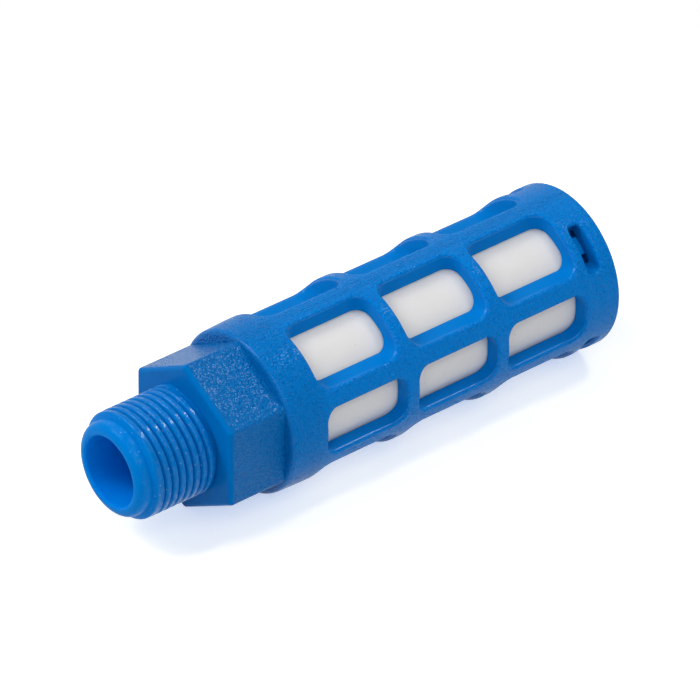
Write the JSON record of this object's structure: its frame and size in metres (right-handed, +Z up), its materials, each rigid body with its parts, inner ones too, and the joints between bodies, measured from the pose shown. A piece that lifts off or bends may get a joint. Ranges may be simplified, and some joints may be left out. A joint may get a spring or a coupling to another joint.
{
  "type": "pneumatic muffler",
  "caption": "Moulded pneumatic exhaust silencer: threaded inlet stub, spanner hexagon, windowed cage round a porous tube, and a snap-in end cap.",
  "frame": {"origin": "on the axis, at the mouth of the inlet", "axes": "+X along the axis from the inlet mouth to the end cap, +Z up through a corner of the hexagon and a parting rib of the cage"},
  "size_m": [0.0882, 0.0264, 0.0264],
  "materials": {
    "moulded_plastic": "moulded, spark-eroded outside and smooth in the windows",
    "porous_plastic": "finely granular, sintered"
  },
  "bodies": {
    "root": {"body": "moulded_plastic", "silencer_element": "porous_plastic", "end_cap": "moulded_plastic"}
  },
  "joints": []
}
